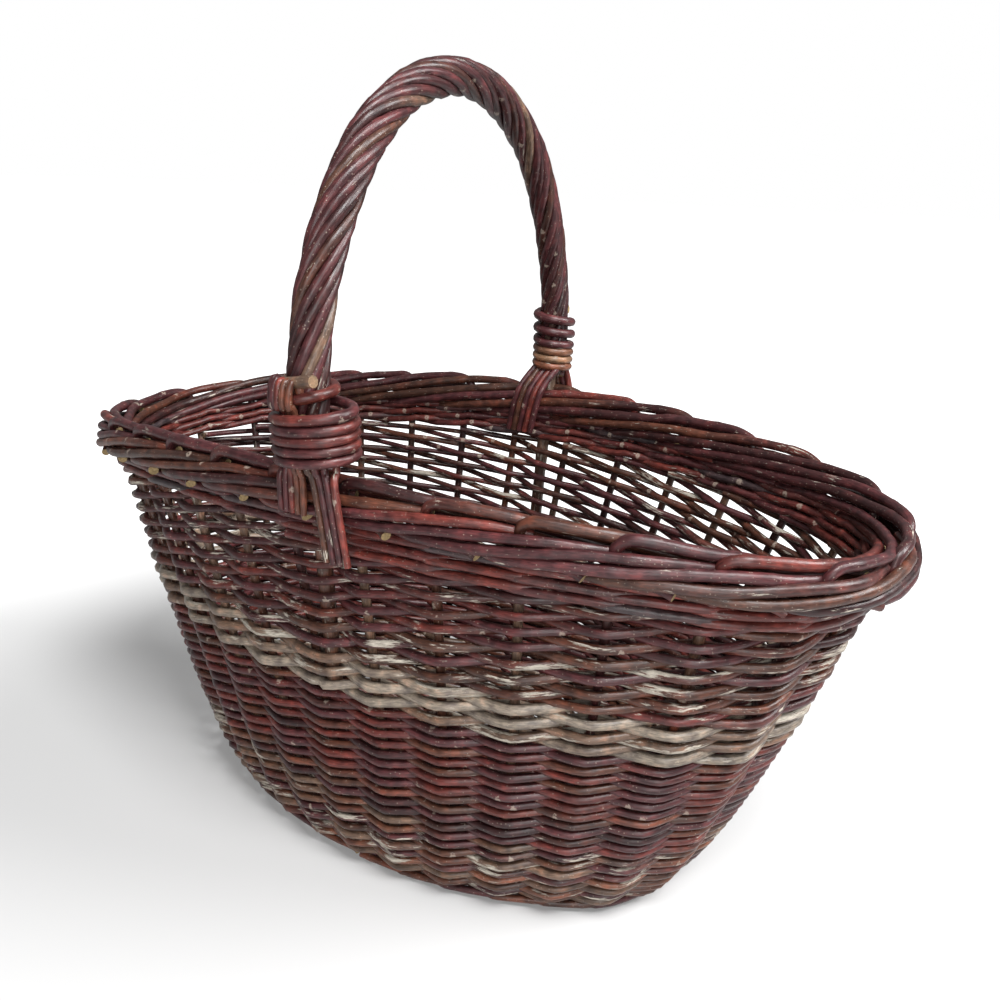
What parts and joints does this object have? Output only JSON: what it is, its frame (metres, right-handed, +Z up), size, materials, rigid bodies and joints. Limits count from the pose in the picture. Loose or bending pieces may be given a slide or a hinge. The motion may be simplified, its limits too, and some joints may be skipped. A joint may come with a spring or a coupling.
{
  "type": "wicker market basket",
  "caption": "Oval willow market basket with flared sides, a rolled border and one roped handle bound to the middle of each long side.",
  "frame": {"origin": "on the ground under the middle of the oval base", "axes": "+Z up, +X along the basket's length, +Y across it, in line with the handle, away from the side with the wide collar"},
  "size_m": [0.5052, 0.2797, 0.4373],
  "materials": {
    "bark_willow_dark": "satin",
    "bark_willow_brown": "satin",
    "bark_willow_grey": "matte"
  },
  "bodies": {
    "root": {"base_long_sticks": "bark_willow_brown", "base_cross_sticks": "bark_willow_brown", "base_weave": "bark_willow_brown", "foot_wale": "bark_willow_brown", "side_stakes": "bark_willow_dark", "root_band": "bark_willow_brown", "lower_weave": "bark_willow_dark", "grey_band": "bark_willow_grey", "upper_weave": "bark_willow_dark", "top_wale": "bark_willow_dark", "border": "bark_willow_dark", "handle_core": "bark_willow_brown", "handle_roping": "bark_willow_dark", "near_collar": "bark_willow_dark", "far_collar": "bark_willow_dark", "near_left_tails": "bark_willow_dark", "near_right_tails": "bark_willow_dark", "far_inner_tails": "bark_willow_dark", "far_outer_tails": "bark_willow_dark"}
  },
  "joints": []
}
